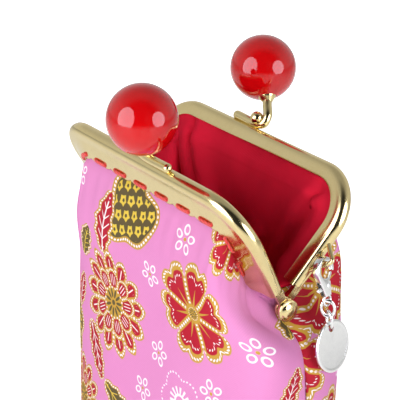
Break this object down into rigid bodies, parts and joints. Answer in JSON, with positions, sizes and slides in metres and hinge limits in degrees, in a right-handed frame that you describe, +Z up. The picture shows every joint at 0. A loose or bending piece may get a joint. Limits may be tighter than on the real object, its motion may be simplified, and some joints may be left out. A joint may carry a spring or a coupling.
{
  "type": "kiss-lock frame purse",
  "caption": "Open kiss-lock purse: hinged scalloped metal frame with ball clasps, printed cloth panels sewn to it, a cloth lining, and a disc charm on a trigger clasp.",
  "frame": {"origin": "on the floor under the middle of the flat base", "axes": "+X along the hinge line towards the charm, +Y towards the back half, +Z up; the front half leans towards -Y"},
  "size_m": [0.1049, 0.0785, 0.1531],
  "materials": {
    "gold": "bright pale gold plate",
    "red_ball": "high gloss",
    "print": "printed cotton, matte",
    "red_cotton": "plain cotton, matte",
    "silver": "bright plate"
  },
  "bodies": {
    "purse": {"front_frame": "gold", "back_frame": "gold", "hinge_rivet_right": "gold", "hinge_rivet_left": "gold", "front_ball": "red_ball", "back_ball": "red_ball", "front_panel": "print", "back_panel": "print", "lining": "red_cotton", "clasp_body": "silver", "charm_link_upper": "silver", "charm_link_lower": "silver", "charm_disc": "silver"},
    "lever": {"clasp_lever": "silver"}
  },
  "joints": [
    {"name": "clasp_lever_pivot", "type": "hinge", "parent": "purse", "child": "lever", "pos_m": [0.04726, 0.00907, 0.09744], "axis": [0.9488, 0.2542, 0.1874], "range_deg": [0, 22], "stiffness_Nm_per_rad": 0.002}
  ]
}
